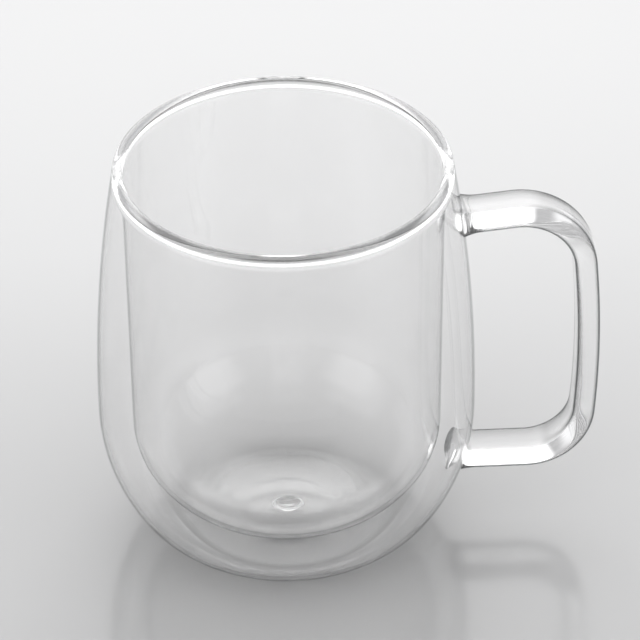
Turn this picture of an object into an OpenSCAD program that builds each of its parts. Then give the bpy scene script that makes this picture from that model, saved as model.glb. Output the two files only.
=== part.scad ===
// Double walled glass cup with a solid glass handle.
// Millimetres, +Z up. The origin is the middle of the resting face, on the cup's axis,
// and the handle points to +X.
// Each wall is a chain of true arcs that run into each other, turned about the axis.

/* [Cup] */
// Height from the resting face to the top of the lip
cup_h = 104; // [98:1:110]
// Distance that the lip's outer edge lies inside the belly
lip_in = 6; // [4:0.5:9]
// Thickness of the lip, where the two walls are melted into one
lip_t = 2.6; // [2.4:0.1:3]
// Height of the melted lip, down to where the two walls part
lip_h = 1.7; // [1.6:0.1:3]

/* [Outer shell] */
// Largest outer diameter, at the belly
belly_d = 92; // [89:0.5:98]
// Height of the belly
belly_z = 36; // [32:0.5:42]
// Distance that the outer edge of the resting ring lies inside the belly
base_in = 28; // [25:0.5:30]
// Angle that the wall turns through from the belly to the heel, in degrees
heel_turn = 32; // [24:1:40]
// Wall thickness of the outer shell
shell_wall = 1.2; // [1:0.1:1.3]
// Width of the ring that the cup rests on, around the hollow under the base
foot_w = 4; // [2.5:0.25:7]
// Depth of the hollow under the base
hollow_h = 1.6; // [1.3:0.1:2.2]

/* [Inner bowl] */
// Wall thickness of the inner bowl
bowl_wall = 1.2; // [1:0.1:1.3]
// Outer radius where the bowl's wall turns into its floor
bowl_corner_r = 23; // [16:0.5:28]
// Outer radius of the bowl's rounded floor
bowl_floor_r = 61; // [50:1:90]
// Height of the bowl's underside above the resting face
bowl_lift = 7.2; // [6:0.2:10]
// Height of the flare that leads the bowl's straight wall up to the lip
flare_h = 16; // [10:0.5:24]
// Distance that the flare leads the bowl's wall outwards
flare_out = 0.9; // [0.5:0.05:2]

/* [Handle] */
// Thickness of the glass bar, in the plane of the handle
bar_t = 5.4; // [4.5:0.1:6.5]
// Width of the glass bar, across the plane of the handle
bar_w = 12; // [9:0.5:15]
// Distance from the top of the lip down to the upper arm's middle line, where its bend starts
upper_arm_drop = 15.2; // [13:0.2:22]
// Rise of the upper arm away from the cup, in degrees
upper_arm_rise = 6; // [0:1:10]
// Height of the lower arm's middle line
lower_arm_z = 18; // [16.5:0.5:24]
// Distance that the handle's outer face lies outside the belly
handle_out = 30; // [26:0.5:38]
// Radius of the upper bend's middle line
upper_bend_r = 16; // [11:0.5:18]
// Radius of the lower bend's middle line
lower_bend_r = 14; // [10:0.5:17]
// Half of the angle that the grip bows outwards through, in degrees
grip_bow = 4.8; // [3:0.2:8]
// Lean of the grip, its foot further out than its head, in degrees
grip_lean = 1.4; // [0:0.2:2]

/* [Handle welds] */
// Length of a weld along its arm, from the shell to the clear bar
weld_l = 4; // [3:0.1:5]
// Distance that a weld spreads past the bar's faces onto the shell
weld_spread = 0.8; // [0.6:0.1:1.5]

/* [Vent] */
// Diameter of the vent hole in the middle of the base
vent_d = 4; // [3:0.1:6]
// Diameter of the bead that closes the vent from below
seal_d = 8; // [7:0.1:12]
// Thickness of that bead
seal_h = 0.9; // [0.6:0.05:1.1]
// Gap between the seal's stem and the vent hole
seal_gap = 0.05; // [0.02:0.01:0.1]

/* [Hidden] */
$fn = 180;
// Fineness of the arcs, which reach up to a far larger radius than the cup
arc_fn = 420;
// Overrun of cuts past what they cut
over = 1;
// Swell of an arc past its neighbour, so that the two cross where they would only touch
lap = 0.01;
// Length that the handle's arms and grip reach into its bends
bar_seat = 0.2;
clear_glass = [0.88, 0.9, 0.9];
thick_glass = [0.78, 0.82, 0.83];

function unit(angle) = [cos(angle), sin(angle)];

// Distance from a point along a direction to where it enters a circle
function run_to_circle(point, along, centre, radius) =
    let (from_centre = point - centre, half = from_centre * along)
    -half - sqrt(half * half - from_centre * from_centre + radius * radius);

// Outer shell: a side arc above the belly, a belly arc and a heel arc below it
lip_r = lip_t / 2;
lip_d = belly_d - 2 * lip_in;
lip_z = cup_h - lip_h;
side_rise = cup_h - lip_r - 2 * lap - belly_z;
side_r = (side_rise * side_rise + lip_in * lip_in) / (2 * lip_in);
side_c = [belly_d / 2 - side_r, belly_z];
side_top = asin(side_rise / (side_r - lip_r));
base_d = belly_d - 2 * base_in;
heel_step = (belly_z - base_in) / (cos(heel_turn) + sin(heel_turn) - 1);
belly_r = base_in + heel_step * cos(heel_turn);
heel_r = belly_z - heel_step * sin(heel_turn);
belly_c = [belly_d / 2 - belly_r, belly_z];
heel_c = [base_d / 2, heel_r];

// The hollow under the base is part of a ball
hollow_d = base_d - 2 * foot_w;
hollow_r = (hollow_d * hollow_d / 4 + hollow_h * hollow_h) / (2 * hollow_h);
hollow_c = [0, hollow_h - hollow_r];
base_top = hollow_h + shell_wall;

// Lip: a round top that the side arc and the bowl's flare both run into
lip_c = side_c + (side_r - lip_r) * unit(side_top);
flare_z = cup_h - flare_h;
flare_rise = lip_c.y - flare_z;
flare_shift = bowl_wall - lip_r;
flare_r = (flare_out * flare_out + flare_rise * flare_rise - flare_shift * flare_shift)
    / (2 * (flare_out + flare_shift));
bowl_r = lip_c.x - flare_out;
flare_c = [bowl_r + flare_r, flare_z];
flare_top = 180 - asin(flare_rise / (flare_r + flare_shift));

// Inner bowl: a straight wall, a corner arc and a floor arc centred on the axis
corner_in = bowl_r - bowl_corner_r;
corner_drop = sqrt(pow(bowl_floor_r - bowl_corner_r, 2) - corner_in * corner_in);
floor_c = [0, bowl_lift + bowl_floor_r];
corner_c = [corner_in, floor_c.y - corner_drop];
corner_turn = atan2(corner_drop, corner_in);

// Handle: upper arm, upper bend, bowed grip, lower bend and lower arm in one plane
flat_w = bar_w - bar_t;
upper_arm_z = cup_h - upper_arm_drop;
bow_above = grip_bow + grip_lean;
bow_below = grip_bow - grip_lean;
upper_bend_drop = upper_bend_r * (cos(upper_arm_rise) - sin(bow_above));
lower_bend_drop = lower_bend_r * (1 - sin(bow_below));
grip_drop = upper_arm_z - lower_arm_z - upper_bend_drop - lower_bend_drop;
grip_r = grip_drop / (sin(bow_above) + sin(bow_below));
grip_x = belly_d / 2 + handle_out - bar_t / 2;
upper_arm_x = grip_x - grip_r * (1 - cos(bow_above)) - upper_bend_r * (sin(upper_arm_rise) + cos(bow_above));
lower_arm_x = grip_x - grip_r * (1 - cos(bow_below)) - lower_bend_r * cos(bow_below);

// Each arm's run from its bend to the shell, and its seat there
upper_run = run_to_circle([upper_arm_x, upper_arm_z], -unit(upper_arm_rise), side_c, side_r);
lower_run = run_to_circle([lower_arm_x, lower_arm_z], [-1, 0], belly_c, belly_r);
upper_seat = [upper_arm_x, upper_arm_z] - upper_run * unit(upper_arm_rise);
lower_seat = [lower_arm_x - lower_run, lower_arm_z];
// Radius of a weld's cove, which leaves the bar without a kink
cove_r = (weld_l * weld_l + weld_spread * weld_spread) / (2 * weld_spread);
// Length that a weld is drawn past its seat, where the shell's face slopes away
weld_sink = bar_t;

// Seal: the bead under the base is part of a ball that meets the hollow at the bead's edge
seal_edge_drop = hollow_r - sqrt(hollow_r * hollow_r - seal_d * seal_d / 4);
seal_rise = seal_h - seal_edge_drop;
seal_r = (seal_d * seal_d / 4 + seal_rise * seal_rise) / (2 * seal_rise);

module disc(centre, radius) {
    translate(centre) circle(radius, $fn = arc_fn);
}

// All that lies inside the shell's outer face, or inside its inner face with the wall as inset.
// The belly arc takes over from the side arc below the belly, and the heel arc from the belly arc.
module shell_region(inset, top) {
    heel_top = belly_z - (belly_r - inset) * sin(heel_turn);
    intersection() {
        translate([0, inset]) square([belly_d, top - inset]);
        disc(side_c, side_r - inset);
        union() {
            translate([0, belly_z]) square([belly_d, cup_h]);
            intersection() {
                disc(belly_c, belly_r + lap - inset);
                union() {
                    translate([0, heel_top]) square([belly_d, belly_z]);
                    disc(heel_c, heel_r + 2 * lap - inset);
                    square([base_d / 2, belly_z]);
                }
            }
        }
    }
}

module shell_profile() {
    difference() {
        shell_region(0, lip_z);
        disc(hollow_c, hollow_r);
        difference() {
            shell_region(shell_wall, cup_h);
            disc(hollow_c + [0, shell_wall], hollow_r);
        }
    }
}

// All that lies inside the bowl's outer face, or inside its inner face with the wall as inset
module bowl_region(inset, top) {
    floor_w = (bowl_floor_r - inset) * cos(corner_turn);
    intersection() {
        square([bowl_r - inset, top]);
        union() {
            translate([0, corner_c.y]) square([bowl_r, cup_h]);
            intersection() {
                disc(floor_c, bowl_floor_r - inset);
                union() {
                    disc(corner_c, bowl_corner_r + lap - inset);
                    square([floor_w, floor_c.y]);
                }
            }
        }
    }
    difference() {
        translate([0, flare_z]) square([lip_d / 2, top - flare_z]);
        disc(flare_c, flare_r + lap + inset);
    }
}

module bowl_profile() {
    difference() {
        bowl_region(0, lip_z);
        bowl_region(bowl_wall, cup_h);
    }
}

// The lip lies between the shell's outer face and the bowl's inner face, under a round top
module lip_profile() {
    intersection() {
        disc(side_c, side_r);
        disc(flare_c, flare_r + lap + bowl_wall);
        translate([0, lip_z]) square([lip_d, lip_h]);
        union() {
            disc(lip_c, lip_r + 2 * lap);
            polygon([
                lip_c,
                lip_c + lip_t * unit(flare_top),
                [lip_c.x - lip_t, lip_z - over],
                [lip_c.x + lip_t, lip_z - over],
                lip_c + lip_t * unit(side_top)
            ]);
        }
    }
}

// Bead under the base, and a stem that fills the vent
module seal_profile() {
    intersection() {
        square([seal_d, base_top]);
        disc(hollow_c, hollow_r);
        disc([0, hollow_h - seal_h + seal_r], seal_r);
    }
    translate([0, hollow_h - seal_h / 2]) square([vent_d / 2 - seal_gap, shell_wall + seal_h / 2]);
}

// Section of the bar with flat faces and round edges: X is its thickness, Y its width
module bar_section(swell = 0) {
    thick = bar_t + 2 * swell;
    square([thick, flat_w], center = true);
    for (side = [1, -1]) {
        translate([0, side * flat_w / 2]) intersection() {
            circle(d = thick);
            translate([0, side * thick / 2]) square([2 * thick, thick], center = true);
        }
    }
}

// The handle is drawn in the XY plane, along +X, and stands up into XZ
module stand_up() {
    rotate([90, 0, 0]) children();
}

// What is drawn along +Z, with its thickness on X, is laid along the handle's path
module along_path() {
    rotate([90, 0, 90]) children();
}

module straight_bar(from, to) {
    translate([from, 0]) along_path() linear_extrude(to - from) bar_section();
}

// Arc to the right, drawn longer at both ends by the seat, whose true end carries what follows
module bent_bar(radius, turn, swell, seat) {
    more = asin(seat / radius);
    translate([0, -radius]) {
        rotate(90 - turn - more) rotate_extrude(angle = turn + 2 * more) translate([radius, 0]) bar_section(swell);
        rotate(-turn) translate([0, radius]) children();
    }
}

// Half of a weld, from its middle outwards: it leaves the bar in a cove and spreads to the shell
module weld_profile() {
    difference() {
        translate([0, -weld_sink]) square([bar_t / 2 + weld_spread, weld_sink + weld_l]);
        disc([bar_t / 2 + cove_r, weld_l], cove_r);
    }
}

module weld_blank() {
    for (turn = [0, 180]) {
        rotate(turn) {
            translate([0, flat_w / 2]) rotate_extrude(angle = 180) weld_profile();
            rotate([90, 0, 0]) linear_extrude(flat_w, center = true) weld_profile();
        }
    }
}

module handle_weld(seat, rise) {
    difference() {
        stand_up() translate(seat) rotate(rise) along_path() weld_blank();
        rotate_extrude($fn = arc_fn) shell_region(0, lip_z);
    }
}

module outer_shell() {
    color(clear_glass) difference() {
        rotate_extrude() shell_profile();
        cylinder(h = base_top + over, d = vent_d);
    }
}

module inner_bowl() {
    color(clear_glass) rotate_extrude() bowl_profile();
}

module rim_bead() {
    color(thick_glass) rotate_extrude() lip_profile();
}

module handle() {
    color(thick_glass) stand_up() translate(upper_seat) rotate(upper_arm_rise) {
        straight_bar(weld_l, upper_run + bar_seat);
        translate([upper_run, 0])
            bent_bar(upper_bend_r, 90 + upper_arm_rise - bow_above, lap, 0)
            bent_bar(grip_r, bow_above + bow_below, 0, bar_seat)
            bent_bar(lower_bend_r, 90 - bow_below, lap, 0)
            straight_bar(-bar_seat, lower_run - weld_l);
    }
}

module upper_handle_weld() {
    color(thick_glass) handle_weld(upper_seat, upper_arm_rise);
}

module lower_handle_weld() {
    color(thick_glass) handle_weld(lower_seat, 0);
}

module vent_seal() {
    color(thick_glass) rotate_extrude() seal_profile();
}

outer_shell();
inner_bowl();
rim_bead();
handle();
upper_handle_weld();
lower_handle_weld();
vent_seal();
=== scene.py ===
# %% [markdown]
# A double walled glass cup, dressed for its portrait.
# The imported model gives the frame: seven solids at their real size, standing on z = 0 with the handle
# towards +X. This lesson turns the same driving sizes into smooth meshes, because clear glass shows every
# facet that a triangle mesh has, and then lights them so that the edges of clear glass can be read.

# %% The frame
import math
from collections import namedtuple

import bpy
from mathutils import Matrix, Vector


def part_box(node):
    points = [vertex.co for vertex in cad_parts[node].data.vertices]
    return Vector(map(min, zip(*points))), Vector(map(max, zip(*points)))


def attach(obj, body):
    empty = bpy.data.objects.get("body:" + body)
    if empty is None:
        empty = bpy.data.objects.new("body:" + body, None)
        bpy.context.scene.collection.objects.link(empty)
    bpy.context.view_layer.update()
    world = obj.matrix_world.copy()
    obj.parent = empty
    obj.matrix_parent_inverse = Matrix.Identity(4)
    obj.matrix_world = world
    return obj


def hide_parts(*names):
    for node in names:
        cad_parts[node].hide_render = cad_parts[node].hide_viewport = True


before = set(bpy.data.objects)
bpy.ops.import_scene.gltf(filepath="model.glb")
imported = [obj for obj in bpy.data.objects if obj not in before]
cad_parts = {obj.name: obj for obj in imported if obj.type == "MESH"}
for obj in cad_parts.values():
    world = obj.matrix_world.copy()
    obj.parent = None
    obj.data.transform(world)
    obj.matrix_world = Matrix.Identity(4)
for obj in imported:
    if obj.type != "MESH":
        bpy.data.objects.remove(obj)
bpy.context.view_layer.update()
MM = 0.001

# %% [markdown]
# The sizes of a lamp-worked cup are few. The tallest and widest come from the solids themselves.
# The rest repeat the part's own driving dimensions in millimetres, so that the meshes lie on the solids.

# %% Sizes of the walls
X = 0
Z = 2


def reach(node, axis):
    """How far a solid reaches along an axis, in millimetres."""
    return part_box(node)[1][axis] / MM


CUP_H = reach("rim_bead", Z)
BELLY_R = reach("outer_shell", X)
LIP_Z = reach("outer_shell", Z)
LIP_R = 40.0
LIP_ROUND_R = 1.3
BELLY_Z = 36.0
BASE_R = 18.0
HEEL_TURN = math.radians(32)
WALL = 1.2
HOLLOW_R = 14.0
HOLLOW_H = 1.6
VENT_R = 2.0
BOWL_CORNER_R = 23.0
BOWL_FLOOR_R = 61.0
BOWL_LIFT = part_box("inner_bowl")[0][Z] / MM
FLARE_H = 16.0
FLARE_OUT = 0.9
print("cup", round(CUP_H, 2), "mm tall, belly", round(2 * BELLY_R, 2), "mm across")

# %% [markdown]
# The wall is a chain of arcs that run into each other without a kink: side, belly and heel outside, and
# straight wall, corner and floor inside. Two circles touch where their centres and the touching point lie
# on one line, and from that rule all the missing radii and centres follow.

# %% Radii and centres of the chain
HALF_TURN = math.pi
side_rise = CUP_H - LIP_ROUND_R - BELLY_Z
side_in = BELLY_R - LIP_R
side_r = (side_rise ** 2 + side_in ** 2) / (2 * side_in)
side_c = (BELLY_R - side_r, BELLY_Z)
side_top = math.asin(side_rise / (side_r - LIP_ROUND_R))
heel_in = BELLY_R - BASE_R
heel_step = (BELLY_Z - heel_in) / (math.cos(HEEL_TURN) + math.sin(HEEL_TURN) - 1)
belly_r = heel_in + heel_step * math.cos(HEEL_TURN)
heel_r = BELLY_Z - heel_step * math.sin(HEEL_TURN)
belly_c = (BELLY_R - belly_r, BELLY_Z)
heel_c = (BASE_R, heel_r)
hollow_r = (HOLLOW_R ** 2 + HOLLOW_H ** 2) / (2 * HOLLOW_H)
hollow_c = (0.0, HOLLOW_H - hollow_r)
lip_c = (side_c[0] + (side_r - LIP_ROUND_R) * math.cos(side_top), CUP_H - LIP_ROUND_R)
bowl_r = lip_c[0] - FLARE_OUT
flare_z = CUP_H - FLARE_H
flare_rise = lip_c[1] - flare_z
flare_shift = WALL - LIP_ROUND_R
flare_r = (FLARE_OUT ** 2 + flare_rise ** 2 - flare_shift ** 2) / (2 * (FLARE_OUT + flare_shift))
flare_c = (bowl_r + flare_r, flare_z)
flare_top = HALF_TURN - math.asin(flare_rise / (flare_r + flare_shift))
floor_c = (0.0, BOWL_LIFT + BOWL_FLOOR_R)
corner_in = bowl_r - BOWL_CORNER_R
corner_drop = math.sqrt((BOWL_FLOOR_R - BOWL_CORNER_R) ** 2 - corner_in ** 2)
corner_c = (corner_in, floor_c[1] - corner_drop)
corner_turn = math.atan2(corner_drop, corner_in)
print("side arc", round(side_r, 1), "belly arc", round(belly_r, 1), "heel arc", round(heel_r, 1), "mm")

# %% [markdown]
# A profile is drawn as a walk in the half plane of radius and height, from arcs and straight stretches.
# Spline curves could draw it too, but true arcs keep the walls as even as the solids have them. The points
# lie so close that smooth shading hides the steps between them.
# Each point also carries a mark, its bulge: 1 on the outsides of the bowl and the shell, which bulge and so
# get the painted grey outline, a painted shade seen edge on, and 0 on their hollow insides.

# %% Tools for a walk
STEP_ANGLE = math.radians(2.5)
STEP_LENGTH = 2.0
FEWEST_STEPS = 2
EDGE_ROUND = 0.12
TOUCHING = 0.012


def arc_steps(radius, span):
    """How many steps an arc needs, so that none turns or runs too far."""
    return max(FEWEST_STEPS, math.ceil(span / STEP_ANGLE), math.ceil(span * radius / STEP_LENGTH))


def arc(centre, radius, start, end):
    """Points on an arc, no further apart than a small angle or a short length."""
    steps = arc_steps(radius, abs(end - start))
    angles = [start + (end - start) * i / steps for i in range(steps + 1)]
    return [(centre[0] + radius * math.cos(a), centre[1] + radius * math.sin(a)) for a in angles]


def line(start, end):
    """Evenly spaced points on a straight stretch."""
    steps = max(1, math.ceil(math.dist(start, end) / STEP_LENGTH))
    return [tuple(a + (b - a) * i / steps for a, b in zip(start, end)) for i in range(steps + 1)]


def soft_edge(before, edge, after):
    """A melted edge: the corner point gives way to two points close to it."""
    points = []
    for other in (before, after):
        share = EDGE_ROUND / math.dist(edge, other)
        points.append(tuple(e + (o - e) * share for e, o in zip(edge, other)))
    return points


def height_on(centre, radius, r):
    """Height of the upper half of a circle at a distance from the axis."""
    return centre[1] + math.sqrt(radius ** 2 - (r - centre[0]) ** 2)


def one_walk(*stretches):
    """Join stretches to one walk of (point, bulge), with each touching point kept once."""
    kept = []
    for points, bulge in stretches:
        for point in points:
            if not kept or math.dist(point, kept[-1][0]) > TOUCHING:
                kept.append((point, bulge))
    return kept


print("a step on the belly is", round(min(STEP_LENGTH, belly_r * STEP_ANGLE), 2), "mm long")

# %% [markdown]
# Where the two walls part under the lip, the melted glass gathers to a small round fillet. It fills only a
# quarter of a millimetre, but it turns the line of sight to the bright light at the back, so it shows as a
# fine white line under the lip. A sharp crotch would stay grey.

# %% Fillet in the crotch
CROTCH_FILL = 0.25
crotch_z = LIP_Z - CROTCH_FILL
crotch_bowl = flare_c[0] - math.sqrt(flare_r ** 2 - (crotch_z - flare_z) ** 2)
crotch_shell = side_c[0] + math.sqrt((side_r - WALL) ** 2 - (crotch_z - BELLY_Z) ** 2)
crotch_r = (crotch_shell - crotch_bowl) / 2
crotch_c = (crotch_bowl + crotch_r, crotch_z - crotch_r)
crotch_flare = HALF_TURN - math.asin((crotch_c[1] - flare_z) / flare_r)
crotch_side = math.asin((crotch_c[1] - BELLY_Z) / (side_r - WALL))
print("gap between the walls at the crotch:", round(2 * crotch_r, 2), "mm")

# %% [markdown]
# The walk has the glass always on its left hand. It starts on the axis under the bowl, climbs the bowl's
# outside to the crotch, goes down inside the shell and out through the vent, and then runs round the
# outside, over the lip and down to the bowl's floor.
# One walk makes one closed skin, as it is on the real cup, where the lip is melted and light sees no joint
# in it. Three pieces that only touch would show a joint.

# %% Walk of the double wall
QUARTER_TURN = math.pi / 2
BULGING = 1.0
CLEAR = 0.0
bowl_outside = (
    arc(floor_c, BOWL_FLOOR_R, -QUARTER_TURN, -corner_turn)
    + arc(corner_c, BOWL_CORNER_R, -corner_turn, 0)
    + line((bowl_r, corner_c[1]), (bowl_r, flare_z))
    + arc(flare_c, flare_r, HALF_TURN, crotch_flare)
    + arc(crotch_c, crotch_r, HALF_TURN, 0)
)
inner_hollow_c = (0, hollow_c[1] + WALL)
vent_top = (VENT_R, height_on(inner_hollow_c, hollow_r, VENT_R))
vent_foot = (VENT_R, height_on(hollow_c, hollow_r, VENT_R))
hollow_edge = QUARTER_TURN - math.asin(HOLLOW_R / hollow_r)
vent_edge = QUARTER_TURN - math.asin(VENT_R / hollow_r)
shell_inside = (
    arc(side_c, side_r - WALL, crotch_side, 0)
    + arc(belly_c, belly_r - WALL, 0, -HEEL_TURN)
    + arc(heel_c, heel_r - WALL, -HEEL_TURN, -QUARTER_TURN)
    + line((BASE_R, WALL), (HOLLOW_R, WALL))
    + arc(inner_hollow_c, hollow_r, hollow_edge, vent_edge)[:-1]
    + soft_edge((HOLLOW_R, WALL), vent_top, vent_foot)
)
shell_outside = (
    soft_edge(vent_top, vent_foot, (HOLLOW_R, 0))
    + arc(hollow_c, hollow_r, vent_edge, hollow_edge)[1:]
    + line((HOLLOW_R, 0), (BASE_R, 0))
    + arc(heel_c, heel_r, -QUARTER_TURN, -HEEL_TURN)
    + arc(belly_c, belly_r, -HEEL_TURN, 0)
    + arc(side_c, side_r, 0, side_top)
    + arc(lip_c, LIP_ROUND_R, side_top, flare_top)
)
bowl_inside = (
    arc(flare_c, flare_r + WALL, flare_top, HALF_TURN)
    + line((bowl_r - WALL, flare_z), (bowl_r - WALL, corner_c[1]))
    + arc(corner_c, BOWL_CORNER_R - WALL, 0, -corner_turn)
    + arc(floor_c, BOWL_FLOOR_R - WALL, -corner_turn, -QUARTER_TURN)
)
wall_walk = one_walk(
    (bowl_outside, BULGING), (shell_inside, CLEAR), (shell_outside, BULGING), (bowl_inside, CLEAR))
print("the wall's walk has", len(wall_walk), "points")

# %% [markdown]
# Node trees are easier to read when adding a node takes one line. This one function adds a node, sets its
# settings and its inputs, and links what is handed to it as a socket.

# %% Adding a node
def add(tree, kind, inputs=None, **settings):
    """Add a node with its settings; an input is a value, or a socket to link from."""
    new = tree.nodes.new(kind)
    for name, value in settings.items():
        setattr(new, name, value)
    for key, value in (inputs or {}).items():
        if isinstance(value, bpy.types.NodeSocket):
            tree.links.new(value, new.inputs[key])
        else:
            new.inputs[key].default_value = value
    return new


# %% [markdown]
# Colours are written as sRGB hex values, as a designer reads them, and turned to linear light once.
# A mix node keeps sockets for several kinds of value under the same names, so its colour sockets are
# called by their numbers.

# %% Colour
MIX_FIRST = 6
MIX_SECOND = 7
MIX_RESULT = 2


def linear(hex_colour):
    """An sRGB hex colour as linear RGBA."""
    channels = [int(hex_colour[i:i + 2], 16) / 255 for i in (1, 3, 5)]
    return [c / 12.92 if c <= 0.04045 else ((c + 0.055) / 1.055) ** 2.4 for c in channels] + [1.0]


print("half grey, #808080, is", round(linear("#808080")[0], 3), "in linear light")

# %% [markdown]
# Borosilicate glass is blown as tube and shaped in a flame, so it has no grain. What the eye finds in it
# is a faint slow waviness from the turning lathe, on a wall a few centimetres long and some micrometres
# deep, which makes reflections sway. Its index is 1.47. The waviness is a bump and not a displacement,
# because it is far thinner than a mesh's own steps.
# Where a wall is seen edge on, the line of sight runs a long way inside the glass. There the colour is
# painted darker with the angle of view. This painted grey outline is painted shade in place of the grey
# outlines that clear glass gets from darker things it refracts and from light lost on that long way. Only
# bulging faces darken, because a hollow one seen edge on has little glass behind it.

# %% Glass
GLASS_IOR = 1.473


def glass(name, edge, edge_from, edge_full, wave_mm, stretch, wave_depth_mm):
    """Clear glass with a painted grey outline edge on, and a slow waviness whose length can differ by axis.
    """
    material = bpy.data.materials.new(name)
    material.use_nodes = True
    tree = material.node_tree
    shader = tree.nodes["Principled BSDF"]
    shader.inputs["Roughness"].default_value = 0.0
    shader.inputs["IOR"].default_value = GLASS_IOR
    shader.inputs["Transmission Weight"].default_value = 1.0
    # Painted shade: on bulging faces seen edge on the base colour turns grey, a painted grey outline.
    view = add(tree, "ShaderNodeLayerWeight")
    edge_on = add(tree, "ShaderNodeMapRange", {
        "Value": view.outputs["Facing"], "From Min": edge_from, "From Max": edge_full})
    bulge = add(tree, "ShaderNodeAttribute", attribute_name="bulge")
    painted_outline_share = add(tree, "ShaderNodeMath", {
        0: edge_on.outputs["Result"], 1: bulge.outputs["Fac"]}, operation="MULTIPLY")
    painted_outline_shade = add(tree, "ShaderNodeMix", {
        "Factor": painted_outline_share.outputs[0], MIX_FIRST: linear("#FFFFFF"), MIX_SECOND: linear(edge)},
        data_type="RGBA")
    tree.links.new(painted_outline_shade.outputs[MIX_RESULT], shader.inputs["Base Color"])
    place = add(tree, "ShaderNodeTexCoord")
    pulled = add(tree, "ShaderNodeMapping", {"Vector": place.outputs["Object"], "Scale": stretch})
    waves = add(tree, "ShaderNodeTexNoise", {
        "Vector": pulled.outputs["Vector"], "Scale": 1 / (wave_mm * MM), "Detail": 1.0, "Roughness": 0.4})
    sway = add(tree, "ShaderNodeBump", {
        "Height": waves.outputs["Fac"], "Strength": 1.0, "Distance": wave_depth_mm * MM})
    tree.links.new(sway.outputs["Normal"], shader.inputs["Normal"])
    return material


# %% [markdown]
# There are three glasses. The blown walls are thin and fire-polished: calm, with a fine painted grey outline
# that starts late. The drawn bar of the handle is solid, so its painted grey outline starts earlier and
# covers its whole round edge, and its waviness is finer across its width. The melted drop in the base is
# small and a little uneven.

# %% Three glasses
wall_glass = glass(
    "fire_polished_borosilicate_glass", edge="#383C3C", edge_from=0.82, edge_full=0.88,
    wave_mm=30, stretch=(1, 1, 0.6), wave_depth_mm=0.012)
bar_glass = glass(
    "drawn_borosilicate_glass_bar", edge="#202424", edge_from=0.35, edge_full=0.6,
    wave_mm=14, stretch=(1, 2.2, 1), wave_depth_mm=0.02)
drop_glass = glass(
    "melted_borosilicate_glass_drop", edge="#484C4C", edge_from=0.6, edge_full=0.8,
    wave_mm=5, stretch=(1, 1, 1), wave_depth_mm=0.01)
print("glass materials:", [m.name for m in (wall_glass, bar_glass, drop_glass)])

# %% [markdown]
# Turning a profile about the axis is what the glass lathe does. A screw modifier could do it, but a node
# tree has its sizes as named inputs and turns the vent drop as well.
# The tree starts with a grid that has one row for each point of the walk and one column for each step round
# the axis. A grid point's number gives its row and its column, and the column gives its angle.

# %% Glass lathe tree: grid and angle
lathe = bpy.data.node_groups.new("glass_lathe", "GeometryNodeTree")
lathe.interface.new_socket("Profile", in_out="INPUT", socket_type="NodeSocketGeometry")
steps_in = lathe.interface.new_socket("Steps Round", in_out="INPUT", socket_type="NodeSocketInt")
weld_in = lathe.interface.new_socket("Weld Distance", in_out="INPUT", socket_type="NodeSocketFloat")
material_in = lathe.interface.new_socket("Glass", in_out="INPUT", socket_type="NodeSocketMaterial")
lathe.interface.new_socket("Turned Glass", in_out="OUTPUT", socket_type="NodeSocketGeometry")
given = add(lathe, "NodeGroupInput")
steps_round = given.outputs["Steps Round"]
walk_size = add(lathe, "GeometryNodeAttributeDomainSize", {0: given.outputs["Profile"]})
columns = add(lathe, "ShaderNodeMath", {0: steps_round, 1: 1.0}, operation="ADD")
sheet = add(lathe, "GeometryNodeMeshGrid", {
    "Vertices X": walk_size.outputs["Point Count"], "Vertices Y": columns.outputs[0]})
number = add(lathe, "GeometryNodeInputIndex")
row = add(lathe, "ShaderNodeMath", {0: number.outputs[0], 1: columns.outputs[0]}, operation="DIVIDE")
row_floor = add(lathe, "ShaderNodeMath", {0: row.outputs[0]}, operation="FLOOR")
column = add(lathe, "ShaderNodeMath", {0: number.outputs[0], 1: columns.outputs[0]}, operation="MODULO")
turn_share = add(lathe, "ShaderNodeMath", {0: column.outputs[0], 1: steps_round}, operation="DIVIDE")
turn = add(lathe, "ShaderNodeMath", {0: turn_share.outputs[0], 1: math.tau}, operation="MULTIPLY")
print("grid and angle take", len(lathe.nodes), "nodes")

# %% [markdown]
# Then each grid point looks up its point of the walk and its bulge by its row, and turns by its angle.
# Merging closes the seam and the poles on the axis, because glass needs a closed skin.

# %% Glass lathe tree: turned skin
where = add(lathe, "GeometryNodeInputPosition")
walk_point = add(lathe, "GeometryNodeSampleIndex", {
    "Geometry": given.outputs["Profile"], "Value": where.outputs[0], "Index": row_floor.outputs[0]},
    data_type="FLOAT_VECTOR", domain="POINT")
stored = add(lathe, "GeometryNodeInputNamedAttribute", {"Name": "bulge"}, data_type="FLOAT")
walk_bulge = add(lathe, "GeometryNodeSampleIndex", {
    "Geometry": given.outputs["Profile"], "Value": stored.outputs[0], "Index": row_floor.outputs[0]},
    data_type="FLOAT", domain="POINT")
turned = add(lathe, "ShaderNodeVectorRotate", {
    "Vector": walk_point.outputs[0], "Angle": turn.outputs[0]}, rotation_type="Z_AXIS")
placed = add(lathe, "GeometryNodeSetPosition", {
    "Geometry": sheet.outputs["Mesh"], "Position": turned.outputs[0]})
marked = add(lathe, "GeometryNodeStoreNamedAttribute", {
    "Geometry": placed.outputs[0], "Name": "bulge", "Value": walk_bulge.outputs[0]},
    data_type="FLOAT", domain="POINT")
welded = add(lathe, "GeometryNodeMergeByDistance", {
    "Geometry": marked.outputs[0], "Distance": given.outputs["Weld Distance"]})
smooth = add(lathe, "GeometryNodeSetShadeSmooth", {"Geometry": welded.outputs[0]})
real = add(lathe, "GeometryNodeRealizeInstances", {"Geometry": smooth.outputs[0]})
coated = add(lathe, "GeometryNodeSetMaterial", {
    "Geometry": real.outputs[0], "Material": given.outputs["Glass"]})
add(lathe, "NodeGroupOutput", {0: coated.outputs[0]})
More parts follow.
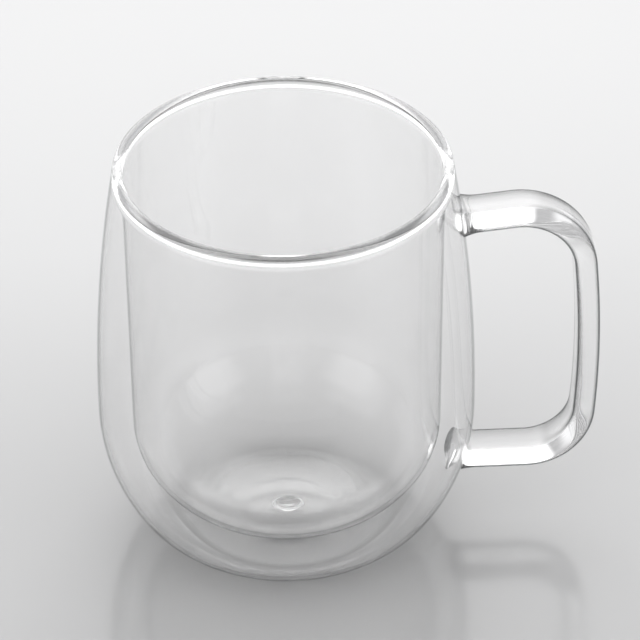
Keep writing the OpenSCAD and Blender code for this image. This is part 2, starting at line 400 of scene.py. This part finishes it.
print("lathe tree has", len(lathe.nodes), "nodes")


# %% [markdown]
# A tree's result stays live in its modifier, and the export needs plain meshes. So each piece is evaluated
# once, copied out as a mesh and freed from its modifier. What goes in is a chain of points with their marks.

# %% From a walk to a plain mesh
def run_tree(name, tree, values, mesh):
    """Run a node tree on a mesh and return a piece that holds the plain result."""
    carrier = bpy.data.objects.new(name + "_start", mesh)
    bpy.context.scene.collection.objects.link(carrier)
    modifier = carrier.modifiers.new("nodes", "NODES")
    modifier.node_group = tree
    for socket, value in values:
        modifier[socket.identifier] = value
    depsgraph = bpy.context.evaluated_depsgraph_get()
    made = bpy.data.meshes.new_from_object(carrier.evaluated_get(depsgraph), depsgraph=depsgraph)
    bpy.data.objects.remove(carrier)
    piece = bpy.data.objects.new(name, made)
    bpy.context.scene.collection.objects.link(piece)
    made.name = name
    return piece


def chain_mesh(name, points):
    """Places in millimetres as a chain of edges in the XZ plane."""
    mesh = bpy.data.meshes.new(name)
    corners = [(r * MM, 0, z * MM) for r, z in points]
    mesh.from_pydata(corners, [(i, i + 1) for i in range(len(corners) - 1)], [])
    return mesh


def store(mesh, name, kind, values):
    """Keep one value for each point of a mesh under a name."""
    attribute = mesh.attributes.new(name, kind, "POINT")
    for item, value in zip(attribute.data, values):
        if kind == "FLOAT_VECTOR":
            item.vector = value
        else:
            item.value = value


def walk_mesh(name, walk):
    """A walk as a chain of edges that carries its bulge marks."""
    mesh = chain_mesh(name, [point for point, _ in walk])
    store(mesh, "bulge", "FLOAT", [bulge for _, bulge in walk])
    return mesh


# %% [markdown]
# Light bends the right way only through a closed skin whose faces look outwards. So each piece is measured:
# an edge with one face would be a tear, and a negative volume would mean that the faces look inwards.

# %% Closed skins
ML_PER_M3 = 1e6


def signed_volume(mesh):
    """Volume inside a closed mesh, negative if its faces point inwards."""
    mesh.calc_loop_triangles()
    total = 0.0
    for face in mesh.loop_triangles:
        a, b, c = (mesh.vertices[i].co for i in face.vertices)
        total += a.dot(b.cross(c)) / 6
    return total


def open_edges(mesh):
    """How many edges don't have exactly two faces."""
    uses = {}
    for face in mesh.polygons:
        for edge in face.edge_keys:
            uses[edge] = uses.get(edge, 0) + 1
    return sum(count != 2 for count in uses.values())


def face_outwards(piece):
    """Turn a closed piece's faces to the outside and say what it measures."""
    volume = signed_volume(piece.data)
    if volume < 0:
        piece.data.flip_normals()
    print(piece.name, round(abs(volume) * ML_PER_M3, 2), "ml of glass,",
          len(piece.data.polygons), "faces,", open_edges(piece.data), "open edges")


# %% [markdown]
# The double wall is one turn of the lathe. The number of steps round isn't a multiple of 4, so no corner
# lies on the Y axis and the mesh stays inside the box of the solids. Smooth shading hides the steps.

# %% Double wall
STEPS_ROUND = 114
WELD_DISTANCE = 0.002 * MM
double_wall = run_tree("double_wall_glass", lathe, [
    (steps_in, STEPS_ROUND), (weld_in, WELD_DISTANCE), (material_in, wall_glass)],
    walk_mesh("wall_walk", wall_walk))
face_outwards(double_wall)

# %% [markdown]
# The handle is one bar of glass with flat faces and round edges, heated and bent in one plane. At each end
# it is melted onto the shell, where the soft glass spreads a little in a cove. A curve with a bevel could
# draw the bar, but not its coves, so it is swept from its own path and section. Its sizes are the part's.

# %% Sizes of the handle
BAR_T = 5.4
BAR_W = 12.0
UPPER_ARM_DROP = 15.2
UPPER_ARM_RISE = math.radians(6)
LOWER_ARM_Z = 18.0
HANDLE_REACH = reach("handle", X)
UPPER_BEND_R = 16.0
LOWER_BEND_R = 14.0
GRIP_BOW = math.radians(4.8)
GRIP_LEAN = math.radians(1.4)
WELD_L = 4.0
WELD_SPREAD = 0.8
print("bar", BAR_W, "x", BAR_T, "mm, reaching", round(HANDLE_REACH, 2), "mm from the axis")

# %% [markdown]
# The bends and the bowed grip are arcs that run into each other, so the grip's radius follows from the drop
# that is left between the two bends. The arms then run straight to where they meet the shell's arcs.

# %% Bends, grip and seats
upper_arm_z = CUP_H - UPPER_ARM_DROP
bow_above = GRIP_BOW + GRIP_LEAN
bow_below = GRIP_BOW - GRIP_LEAN
upper_bend_drop = UPPER_BEND_R * (math.cos(UPPER_ARM_RISE) - math.sin(bow_above))
lower_bend_drop = LOWER_BEND_R * (1 - math.sin(bow_below))
grip_drop = upper_arm_z - LOWER_ARM_Z - upper_bend_drop - lower_bend_drop
grip_r = grip_drop / (math.sin(bow_above) + math.sin(bow_below))
grip_x = HANDLE_REACH - BAR_T / 2
upper_arm_x = (grip_x - grip_r * (1 - math.cos(bow_above))
               - UPPER_BEND_R * (math.sin(UPPER_ARM_RISE) + math.cos(bow_above)))
lower_arm_x = grip_x - grip_r * (1 - math.cos(bow_below)) - LOWER_BEND_R * math.cos(bow_below)
cove_r = (WELD_L ** 2 + WELD_SPREAD ** 2) / (2 * WELD_SPREAD)


def run_to_circle(point, along, centre, radius):
    """Distance from a point along a direction to where it enters a circle."""
    away = (point[0] - centre[0], point[1] - centre[1])
    half = away[0] * along[0] + away[1] * along[1]
    return -half - math.sqrt(half ** 2 - away[0] ** 2 - away[1] ** 2 + radius ** 2)


upper_along = (-math.cos(UPPER_ARM_RISE), -math.sin(UPPER_ARM_RISE))
upper_run = run_to_circle((upper_arm_x, upper_arm_z), upper_along, side_c, side_r)
lower_run = run_to_circle((lower_arm_x, LOWER_ARM_Z), (-1, 0), belly_c, belly_r)
upper_seat = (upper_arm_x + upper_run * upper_along[0], upper_arm_z + upper_run * upper_along[1])
print("arms run", round(upper_run, 1), "and", round(lower_run, 1), "mm from the shell to their bends")

# %% [markdown]
# The path is walked like a turtle's: straight, or along an arc to the right, from the upper seat to the
# lower one. Each station keeps its place, its heading, the spread of the weld there, the size of the bar
# and the distance from the seat.

# %% Tools for the handle's path
Station = namedtuple("Station", "place heading spread size from_seat")
stations = []
place = list(upper_seat)
heading = UPPER_ARM_RISE


def spread_at(from_seat):
    """Spread of the weld's cove at a distance from the shell."""
    left = max(0.0, WELD_L - from_seat)
    return cove_r - math.sqrt(cove_r ** 2 - left ** 2)


def keep_station(from_seat, size=1.0):
    """Keep what the bar is like here, this far from its seat."""
    stations.append(Station(tuple(place), heading, spread_at(from_seat), size, from_seat))


def go(distance):
    """Move along the heading."""
    place[0] += distance * math.cos(heading)
    place[1] += distance * math.sin(heading)


def bend(radius, angle):
    """Walk an arc to the right and keep its stations."""
    global heading
    steps = arc_steps(radius, angle)
    for _ in range(steps):
        heading -= angle / steps / 2
        go(2 * radius * math.sin(angle / steps / 2))
        heading -= angle / steps / 2
        keep_station(WELD_L)


print("weld spreads", round(spread_at(0), 2), "mm at the shell, from a cove of", round(cove_r, 1), "mm")

# %% [markdown]
# The stations lie close together in the welds, where the cove curves. At both ends one of size nothing
# closes the bar.

# %% Path of the handle
SEAT_STATIONS = (0, 0.1, 0.4, 0.8, 1.2, 1.7, 2.2, 2.8, 3.4)
keep_station(0, size=0.0)
walked = 0.0
for distance in SEAT_STATIONS + (WELD_L, (WELD_L + upper_run) / 2, upper_run):
    go(distance - walked)
    walked = distance
    keep_station(distance)
bend(UPPER_BEND_R, QUARTER_TURN + UPPER_ARM_RISE - bow_above)
bend(grip_r, bow_above + bow_below)
bend(LOWER_BEND_R, QUARTER_TURN - bow_below)
walked = lower_run
for distance in ((WELD_L + lower_run) / 2, WELD_L) + SEAT_STATIONS[::-1]:
    go(walked - distance)
    walked = distance
    keep_station(distance)
keep_station(0, size=0.0)
print("the handle has", len(stations), "stations and ends", [round(v, 2) for v in place])

# %% [markdown]
# The section is a walk too: a flat face, a half round edge, the other flat face and the other edge. Each
# point also keeps the direction away from the glass, along which the weld's cove spreads, and its bulge.
# The round edges bulge and get the painted grey outline, and the middles of the flats stay clear.

# %% Section of the bar
flat_w = BAR_W - BAR_T
edge_r = BAR_T / 2
section = []
for side in (1, -1):
    flat = line((side * edge_r, -side * flat_w / 2), (side * edge_r, side * flat_w / 2))
    section.append((flat[0], (side, 0), BULGING))
    for point in flat[1:-1]:
        section.append((point, (side, 0), CLEAR))
    turn_start = 0 if side > 0 else HALF_TURN
    for x, y in arc((0, 0), edge_r, turn_start, turn_start + HALF_TURN)[:-1]:
        section.append(((x, y + side * flat_w / 2), (x / edge_r, y / edge_r), BULGING))
print("the section has", len(section), "points")

# %% [markdown]
# The sweep works like the lathe: a grid with one row for each station and one column for each point of the
# section. Curve to Mesh could carry the section along too, but here each row also needs its own spread, and
# near a seat each point needs its own shift.

# %% Bar sweep tree: inputs and grid
sweep = bpy.data.node_groups.new("glass_bar_sweep", "GeometryNodeTree")
sweep.interface.new_socket("Path", in_out="INPUT", socket_type="NodeSocketGeometry")
section_in = sweep.interface.new_socket("Section", in_out="INPUT", socket_type="NodeSocketObject")
shell_in = sweep.interface.new_socket("Shell", in_out="INPUT", socket_type="NodeSocketObject")
seat_in = sweep.interface.new_socket("Weld Length", in_out="INPUT", socket_type="NodeSocketFloat")
sink_in = sweep.interface.new_socket("Sink", in_out="INPUT", socket_type="NodeSocketFloat")
close_in = sweep.interface.new_socket("Weld Distance", in_out="INPUT", socket_type="NodeSocketFloat")
bar_in = sweep.interface.new_socket("Glass", in_out="INPUT", socket_type="NodeSocketMaterial")
sweep.interface.new_socket("Bar", in_out="OUTPUT", socket_type="NodeSocketGeometry")
given = add(sweep, "NodeGroupInput")
path = given.outputs["Path"]
loop = add(sweep, "GeometryNodeObjectInfo", {"Object": given.outputs["Section"]})
rim = loop.outputs["Geometry"]
path_size = add(sweep, "GeometryNodeAttributeDomainSize", {0: path})
loop_size = add(sweep, "GeometryNodeAttributeDomainSize", {0: rim})
loop_count = loop_size.outputs["Point Count"]
columns = add(sweep, "ShaderNodeMath", {0: loop_count, 1: 1.0}, operation="ADD")
sheet = add(sweep, "GeometryNodeMeshGrid", {
    "Vertices X": path_size.outputs["Point Count"], "Vertices Y": columns.outputs[0]})
number = add(sweep, "GeometryNodeInputIndex")
row_share = add(sweep, "ShaderNodeMath", {0: number.outputs[0], 1: columns.outputs[0]}, operation="DIVIDE")
row = add(sweep, "ShaderNodeMath", {0: row_share.outputs[0]}, operation="FLOOR")
column = add(sweep, "ShaderNodeMath", {0: number.outputs[0], 1: columns.outputs[0]}, operation="MODULO")
column = add(sweep, "ShaderNodeMath", {0: column.outputs[0], 1: loop_count}, operation="MODULO")
print("inputs and grid take", len(sweep.nodes), "nodes")


# %% [markdown]
# Each grid point looks up its station by its row, and its point of the section by its column.

# %% Bar sweep tree: look-ups
def looked_up(geometry, index, name, kind):
    """A named attribute of another geometry's point with this index."""
    stored = add(sweep, "GeometryNodeInputNamedAttribute", {"Name": name}, data_type=kind)
    return add(sweep, "GeometryNodeSampleIndex", {
        "Geometry": geometry, "Value": stored.outputs[0], "Index": index.outputs[0]},
        data_type=kind, domain="POINT").outputs[0]


centre = looked_up(path, row, "position", "FLOAT_VECTOR")
along = looked_up(path, row, "along", "FLOAT_VECTOR")
across = looked_up(path, row, "across", "FLOAT_VECTOR")
spread = looked_up(path, row, "spread", "FLOAT")
size = looked_up(path, row, "size", "FLOAT")
from_seat = looked_up(path, row, "from_seat", "FLOAT")
corner = looked_up(rim, column, "position", "FLOAT_VECTOR")
away = looked_up(rim, column, "away", "FLOAT_VECTOR")
bulge = looked_up(rim, column, "bulge", "FLOAT")
print("with the look-ups the tree has", len(sweep.nodes), "nodes")

# %% [markdown]
# Then the section is swollen by the weld's spread and set on its station: its thickness lies across the
# heading, in the plane of the handle, and its width lies along Y.

# %% Bar sweep tree: the section on its station
swollen = add(sweep, "ShaderNodeVectorMath", {0: away, "Scale": spread}, operation="SCALE")
corner = add(sweep, "ShaderNodeVectorMath", {0: corner, 1: swollen.outputs[0]}, operation="ADD")
corner = add(sweep, "ShaderNodeVectorMath", {0: corner.outputs[0], "Scale": size}, operation="SCALE")
parts = add(sweep, "ShaderNodeSeparateXYZ", {0: corner.outputs[0]})
sideways = add(sweep, "ShaderNodeVectorMath", {0: across, "Scale": parts.outputs["X"]}, operation="SCALE")
widthways = add(sweep, "ShaderNodeCombineXYZ", {"Y": parts.outputs["Y"]})
spot = add(sweep, "ShaderNodeVectorMath", {0: centre, 1: sideways.outputs[0]}, operation="ADD")
spot = add(sweep, "ShaderNodeVectorMath", {0: spot.outputs[0], 1: widthways.outputs[0]}, operation="ADD")
print("with the section in place it has", len(sweep.nodes), "nodes")

# %% [markdown]
# Rows near a seat look along the arm for the shell's face with a ray, and shift so that the last row sinks
# into the wall by a fraction of its thickness. In the flame the two became one piece of glass, and with
# this overlap light passes from one to the other without meeting air. Away from the seat the shift fades.

# %% Bar sweep tree: seats and skin
RAY_LENGTH = 1000 * MM
weld_length = given.outputs["Weld Length"]
shell = add(sweep, "GeometryNodeObjectInfo", {"Object": given.outputs["Shell"]})
back = add(sweep, "ShaderNodeVectorMath", {0: along, "Scale": weld_length}, operation="SCALE")
start = add(sweep, "ShaderNodeVectorMath", {0: spot.outputs[0], 1: back.outputs[0]}, operation="SUBTRACT")
ray = add(sweep, "GeometryNodeRaycast", {
    "Target Geometry": shell.outputs["Geometry"], "Source Position": start.outputs[0],
    "Ray Direction": along, "Ray Length": RAY_LENGTH})
short = add(sweep, "ShaderNodeMath", {0: ray.outputs["Hit Distance"], 1: weld_length}, operation="SUBTRACT")
short = add(sweep, "ShaderNodeMath", {0: short.outputs[0], 1: from_seat}, operation="SUBTRACT")
short = add(sweep, "ShaderNodeMath", {0: short.outputs[0], 1: given.outputs["Sink"]}, operation="ADD")
fade = add(sweep, "ShaderNodeMath", {0: from_seat, 1: weld_length}, operation="DIVIDE")
fade = add(sweep, "ShaderNodeMath", {0: 1.0, 1: fade.outputs[0]}, operation="SUBTRACT", use_clamp=True)
shift = add(sweep, "ShaderNodeMath", {0: short.outputs[0], 1: fade.outputs[0]}, operation="MULTIPLY")
seated = add(sweep, "ShaderNodeVectorMath", {0: along, "Scale": shift.outputs[0]}, operation="SCALE")
spot = add(sweep, "ShaderNodeVectorMath", {0: spot.outputs[0], 1: seated.outputs[0]}, operation="ADD")
placed = add(sweep, "GeometryNodeSetPosition", {
    "Geometry": sheet.outputs["Mesh"], "Position": spot.outputs[0]})
marked = add(sweep, "GeometryNodeStoreNamedAttribute", {
    "Geometry": placed.outputs[0], "Name": "bulge", "Value": bulge}, data_type="FLOAT", domain="POINT")
welded = add(sweep, "GeometryNodeMergeByDistance", {
    "Geometry": marked.outputs[0], "Distance": given.outputs["Weld Distance"]})
smooth = add(sweep, "GeometryNodeSetShadeSmooth", {"Geometry": welded.outputs[0]})
real = add(sweep, "GeometryNodeRealizeInstances", {"Geometry": smooth.outputs[0]})
coated = add(sweep, "GeometryNodeSetMaterial", {
    "Geometry": real.outputs[0], "Material": given.outputs["Glass"]})
add(sweep, "NodeGroupOutput", {0: coated.outputs[0]})
print("sweep tree has", len(sweep.nodes), "nodes")

# %% [markdown]
# The handle is one run of the sweep. The path carries what each station keeps, and the section rides along
# as a loose ring of points that is taken away again afterwards.

# %% Handle
WELD_SINK = 0.3
half_way = len(stations) // 2
headings = [s.heading for s in stations]
# Near each end the bar looks towards its own seat, so the first half looks back along its heading.
looks = [h + HALF_TURN if i < half_way else h for i, h in enumerate(headings)]
path_mesh = chain_mesh("handle_path", [s.place for s in stations])
store(path_mesh, "along", "FLOAT_VECTOR", [(math.cos(a), 0, math.sin(a)) for a in looks])
store(path_mesh, "across", "FLOAT_VECTOR", [(-math.sin(h), 0, math.cos(h)) for h in headings])
store(path_mesh, "spread", "FLOAT", [s.spread * MM for s in stations])
store(path_mesh, "size", "FLOAT", [s.size for s in stations])
store(path_mesh, "from_seat", "FLOAT", [s.from_seat * MM for s in stations])
section_mesh = bpy.data.meshes.new("bar_section")
section_mesh.from_pydata([(x * MM, y * MM, 0) for (x, y), _, _ in section], [], [])
store(section_mesh, "away", "FLOAT_VECTOR", [(x, y, 0) for _, (x, y), _ in section])
store(section_mesh, "bulge", "FLOAT", [bulge for _, _, bulge in section])
section_object = bpy.data.objects.new("bar_section", section_mesh)
bpy.context.scene.collection.objects.link(section_object)
handle = run_tree("glass_handle", sweep, [
    (section_in, section_object), (shell_in, double_wall), (seat_in, WELD_L * MM),
    (sink_in, WELD_SINK * MM), (close_in, WELD_DISTANCE), (bar_in, bar_glass)], path_mesh)
bpy.data.objects.remove(section_object)
face_outwards(handle)

# %% [markdown]
# While the lip is melted shut the trapped air has to leave, so the base has a small vent. It is closed last,
# with a drop of glass that fills the hole and sits as a flat bead in the hollow. Like the handle it overlaps
# the wall by a hair. It is turned on the same lathe, with half as many steps because it is small.

# %% Vent drop
SEAL_R = 4.0
SEAL_H = 0.9
HAIR = 0.03
edge_drop = hollow_r - math.sqrt(hollow_r ** 2 - SEAL_R ** 2)
seal_rise = SEAL_H - edge_drop
seal_ball_r = (SEAL_R ** 2 + seal_rise ** 2) / (2 * seal_rise)
seal_ball_c = (0, HOLLOW_H - SEAL_H + seal_ball_r)
seal_turn = math.asin(SEAL_R / seal_ball_r)
stem_r = VENT_R + HAIR
stem_top = HOLLOW_H + WALL
bead_top_r = hollow_r + HAIR
bead_edge = (SEAL_R, height_on(hollow_c, bead_top_r, SEAL_R))
stem_foot = (stem_r, height_on(hollow_c, bead_top_r, stem_r))
drop_outside = (
    [(0, stem_top)]
    + soft_edge((0, stem_top), (stem_r, stem_top), stem_foot)
    + soft_edge((stem_r, stem_top), stem_foot, bead_edge)
    + [bead_edge]
    + arc(seal_ball_c, seal_ball_r, -QUARTER_TURN + seal_turn, -QUARTER_TURN)
)
vent_drop = run_tree("vent_drop", lathe, [
    (steps_in, STEPS_ROUND // 2), (weld_in, WELD_DISTANCE), (material_in, drop_glass)],
    walk_mesh("drop_walk", one_walk((drop_outside, BULGING))))
face_outwards(vent_drop)

# %% [markdown]
# The cup stands on a pale polished board, as on a studio table. Its colour is a little darker near the eye,
# a painted shade that stands in for light falling off towards the front. It keeps the cup's shadow and shows
# a soft mirror image of it.

# %% Floor
FLOOR_HALF = 3000 * MM
FLOOR_GAP = 0.02 * MM
FLOOR_NEAR_Y = -60 * MM
FLOOR_FAR_Y = 120 * MM
FLOOR_NEAR = "#C6C6C6"
FLOOR_FAR = "#DADADA"
floor_mesh = bpy.data.meshes.new("floor")
floor_mesh.from_pydata(
    [(x * FLOOR_HALF, y * FLOOR_HALF, -FLOOR_GAP) for x, y in ((-1, -1), (1, -1), (1, 1), (-1, 1))],
    [], [(0, 1, 2, 3)])
floor_paint = bpy.data.materials.new("pale_polished_floor")
floor_paint.use_nodes = True
floor_tree = floor_paint.node_tree
floor_shader = floor_tree.nodes["Principled BSDF"]
floor_shader.inputs["Roughness"].default_value = 0.15
floor_place = add(floor_tree, "ShaderNodeTexCoord")
floor_parts = add(floor_tree, "ShaderNodeSeparateXYZ", {0: floor_place.outputs["Object"]})
# Painted shade: the board's colour darkens towards the eye, a painted fall-off of the light.
floor_depth = add(floor_tree, "ShaderNodeMapRange", {
    "Value": floor_parts.outputs["Y"], "From Min": FLOOR_NEAR_Y, "From Max": FLOOR_FAR_Y})
floor_painted_shade = add(floor_tree, "ShaderNodeMix", {
    "Factor": floor_depth.outputs["Result"], MIX_FIRST: linear(FLOOR_NEAR), MIX_SECOND: linear(FLOOR_FAR)},
    data_type="RGBA")
floor_tree.links.new(floor_painted_shade.outputs[MIX_RESULT], floor_shader.inputs["Base Color"])
floor_mesh.materials.append(floor_paint)
floor = bpy.data.objects.new("floor", floor_mesh)
bpy.context.scene.collection.objects.link(floor)
print("floor", 2 * FLOOR_HALF, "m wide, from", FLOOR_NEAR, "near to", FLOOR_FAR, "far")


# %% [markdown]
# Clear glass is read by its edges, and its lip and handle show what stands round them. A soft light behind
# and above the cup makes the bar of the handle and the fillet under the lip white, and throws the shadow to
# the front. It is narrow enough that only the middle of the far lip mirrors it.
# Two soft lights stand in front with a gap between them and put calm reflections on the walls.
# A soft box fades towards the edges of its cloth. Without that its mirror images would be hard squares.

# %% Lights
LIGHT_AIM = Vector((0, 0, 60)) * MM
EDGE_FADE = 260
MIDDLE = 0.5


def soft_light(name, location, width, height, radiance):
    """A soft box that looks at the cup and is half as bright at the edges of the given size."""
    lamp = bpy.data.lights.new(name, "AREA")
    lamp.shape = "RECTANGLE"
    lamp.size = (width + EDGE_FADE) * MM
    lamp.size_y = (height + EDGE_FADE) * MM
    lamp.energy = radiance * math.pi * lamp.size * lamp.size_y
    lamp.use_nodes = True
    tree = lamp.node_tree
    cloth = add(tree, "ShaderNodeNewGeometry")
    shares = add(tree, "ShaderNodeSeparateXYZ", {0: cloth.outputs["Parametric"]})
    fades = []
    for share, length in ((shares.outputs["X"], lamp.size), (shares.outputs["Y"], lamp.size_y)):
        from_edge = add(tree, "ShaderNodeMath", {0: share, 1: MIDDLE}, operation="PINGPONG")
        fades.append(add(tree, "ShaderNodeMapRange", {
            "Value": from_edge.outputs[0], "From Max": EDGE_FADE * MM / length},
            interpolation_type="SMOOTHSTEP").outputs["Result"])
    glow = add(tree, "ShaderNodeMath", {0: fades[0], 1: fades[1]}, operation="MULTIPLY")
    tree.links.new(glow.outputs[0], tree.nodes["Emission"].inputs["Strength"])
    light = bpy.data.objects.new(name, lamp)
    bpy.context.scene.collection.objects.link(light)
    spot = Vector(location) * MM
    light.matrix_world = (
        Matrix.Translation(spot) @ (spot - LIGHT_AIM).to_track_quat("Z", "Y").to_matrix().to_4x4())
    print(name, round(lamp.energy, 2), "W from", round((spot - LIGHT_AIM).length / MM), "mm away")


soft_light("back_soft_light", location=(50, 680, 510), width=620, height=640, radiance=2.1)
for name, side in (("left_soft_light", -1), ("right_soft_light", 1)):
    soft_light(name, location=(side * 700, -450, 330), width=600, height=660, radiance=0.85)

# %% [markdown]
# The sky is dim in front, where the near lip looks and turns grey, brighter overhead and behind, and
# brightest low down at the back, like a pale wall behind a table. Light that falls on the floor comes from
# an even sky instead, so that the floor is lit softly from all sides.

# %% Sky
FRONT_SKY = 0.33
HIGH_SKY = 0.6
BACK_GLOW = 0.5
LIT_SKY = 0.77
world = bpy.data.worlds.new("studio")
bpy.context.scene.world = world
world.use_nodes = True
sky_tree = world.node_tree
sky = sky_tree.nodes["Background"]
sky.inputs["Color"].default_value = linear("#F6F6F7")
direction = add(sky_tree, "ShaderNodeTexCoord")
toward = add(sky_tree, "ShaderNodeSeparateXYZ", {0: direction.outputs["Generated"]})


def soft_change(value, start, end, low, high):
    """A soft change of level along one direction of the sky."""
    return add(sky_tree, "ShaderNodeMapRange", {
        "Value": value, "From Min": start, "From Max": end, "To Min": low, "To Max": high},
        interpolation_type="SMOOTHSTEP").outputs["Result"]


dome = soft_change(toward.outputs["Y"], start=-0.5, end=0.3, low=FRONT_SKY, high=HIGH_SKY)
behind = soft_change(toward.outputs["Y"], start=0.1, end=0.4, low=0.0, high=BACK_GLOW)
low_down = soft_change(toward.outputs["Z"], start=0.25, end=0.45, low=1.0, high=0.0)
sky_sum = add(sky_tree, "ShaderNodeMath", {0: behind, 1: low_down, 2: dome}, operation="MULTIPLY_ADD")
ray_kind = add(sky_tree, "ShaderNodeLightPath")
seen = add(sky_tree, "ShaderNodeMath", {
    0: ray_kind.outputs["Is Camera Ray"], 1: ray_kind.outputs["Is Glossy Ray"]}, operation="MAXIMUM")
seen = add(sky_tree, "ShaderNodeMath", {
    0: seen.outputs[0], 1: ray_kind.outputs["Is Transmission Ray"]}, operation="MAXIMUM")
level = add(sky_tree, "ShaderNodeMapRange", {
    "Value": seen.outputs[0], "To Min": LIT_SKY, "To Max": sky_sum.outputs[0]})
sky_tree.links.new(level.outputs["Result"], sky.inputs["Strength"])
print("sky", FRONT_SKY, "in front,", HIGH_SKY + BACK_GLOW, "low down at the back,", LIT_SKY, "on the floor")

# %% [markdown]
# The camera stands about 0.8 m away and looks down at 35 degrees, with a long lens, so that the lip is a
# wide ellipse and the inside of the cup can be seen.

# %% Camera
CAMERA_TARGET = Vector((8.309, -0.435, 59.09)) * MM
CAMERA_DISTANCE = 800 * MM
CAMERA_AZIMUTH = math.radians(-3)
CAMERA_ELEVATION = math.radians(35.25)
CAMERA_ROLL = math.radians(-0.44)
FOCAL_PIXELS = 3324
IMAGE_PIXELS = 640
SENSOR = 36
outward = Vector((
    math.cos(CAMERA_ELEVATION) * math.sin(CAMERA_AZIMUTH),
    -math.cos(CAMERA_ELEVATION) * math.cos(CAMERA_AZIMUTH),
    math.sin(CAMERA_ELEVATION)))
camera_data = bpy.data.cameras.new("camera")
camera_data.lens = SENSOR * FOCAL_PIXELS / IMAGE_PIXELS
camera_data.sensor_width = SENSOR
camera = bpy.data.objects.new("camera", camera_data)
bpy.context.scene.collection.objects.link(camera)
camera.matrix_world = (
    Matrix.Translation(CAMERA_TARGET + CAMERA_DISTANCE * outward)
    @ outward.to_track_quat("Z", "Y").to_matrix().to_4x4()
    @ Matrix.Rotation(CAMERA_ROLL, 4, "Z"))
bpy.context.scene.camera = camera
bpy.context.scene.view_settings.view_transform = "Standard"
# Light that enters the lip runs down inside a wall and turns back many times before it leaves the glass.
bpy.context.scene.cycles.max_bounces = 256
bpy.context.scene.cycles.glossy_bounces = 192
bpy.context.scene.cycles.transmission_bounces = 64
print("lens", round(camera_data.lens, 1), "mm at", round(CAMERA_DISTANCE / MM), "mm")

# %% [markdown]
# Each finished piece rides on the frame's root and stands in for the solids that it redraws, which are
# hidden.

# %% Hand over
for piece, nodes, slot in (
        (double_wall, ("outer_shell", "inner_bowl", "rim_bead"), "shell_glass"),
        (handle, ("handle", "upper_handle_weld", "lower_handle_weld"), "handle_glass"),
        (vent_drop, ("vent_seal",), "seal_glass")):
    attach(piece, "root")
    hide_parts(*nodes)
